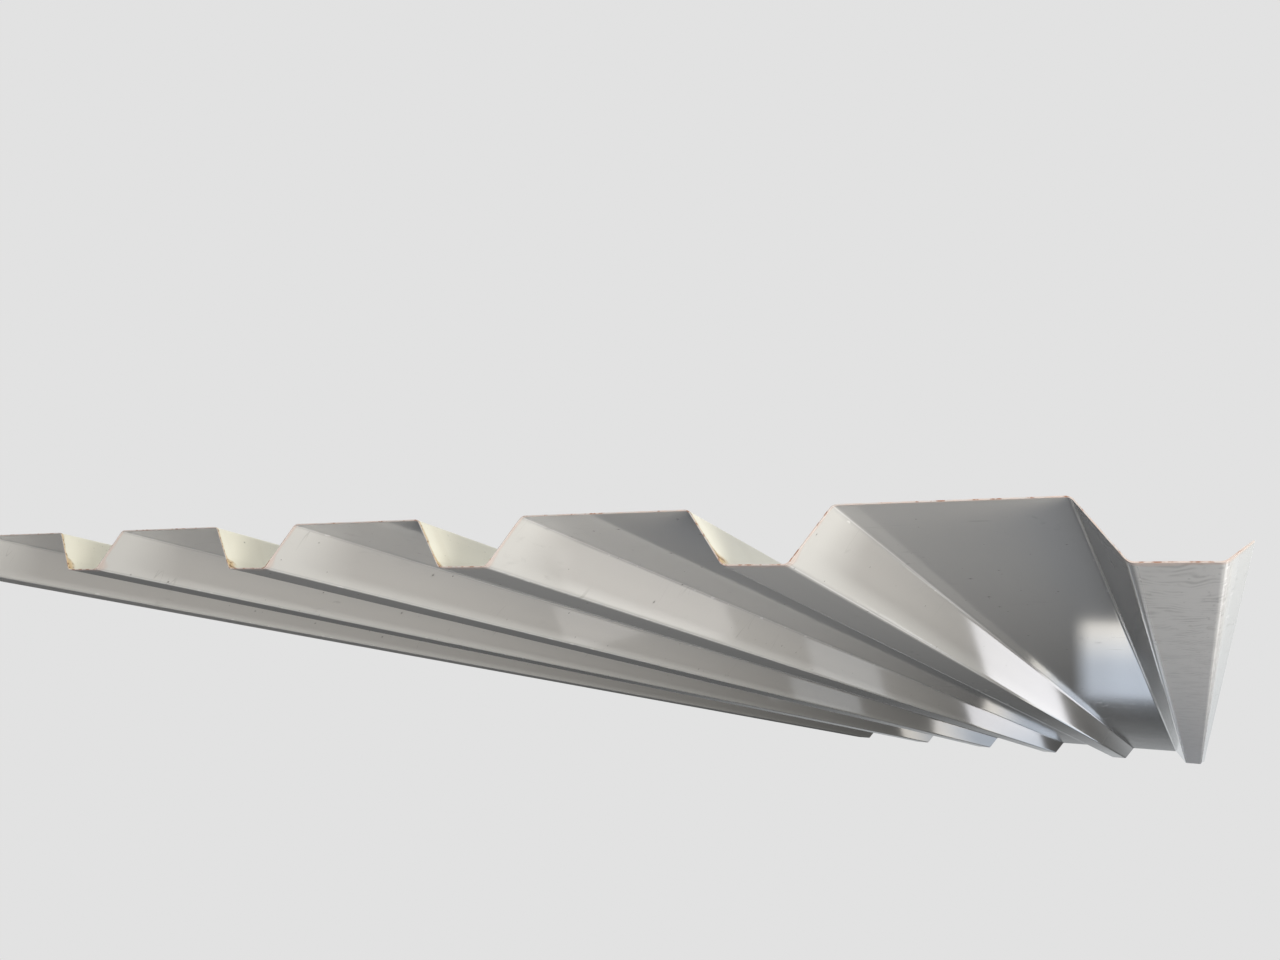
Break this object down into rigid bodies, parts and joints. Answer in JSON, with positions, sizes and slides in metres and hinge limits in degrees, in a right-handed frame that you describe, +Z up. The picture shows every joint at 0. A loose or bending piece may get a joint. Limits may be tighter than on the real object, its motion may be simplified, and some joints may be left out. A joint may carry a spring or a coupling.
{
  "type": "corrugated metal sheet",
  "caption": "Long trapezoidal steel roofing sheet: wide flat crests, narrow valleys, sloping webs and a short upturned lip along each side.",
  "frame": {"origin": "middle of the sheet's underside, level with the undersides of the valleys it lies on", "axes": "+X across the sheet, +Y along its length and its corrugations, +Z up out of the crests"},
  "size_m": [1.0604, 3, 0.0327],
  "materials": {
    "coated_steel": "satin"
  },
  "bodies": {
    "root": {"sheet": "coated_steel"}
  },
  "joints": []
}
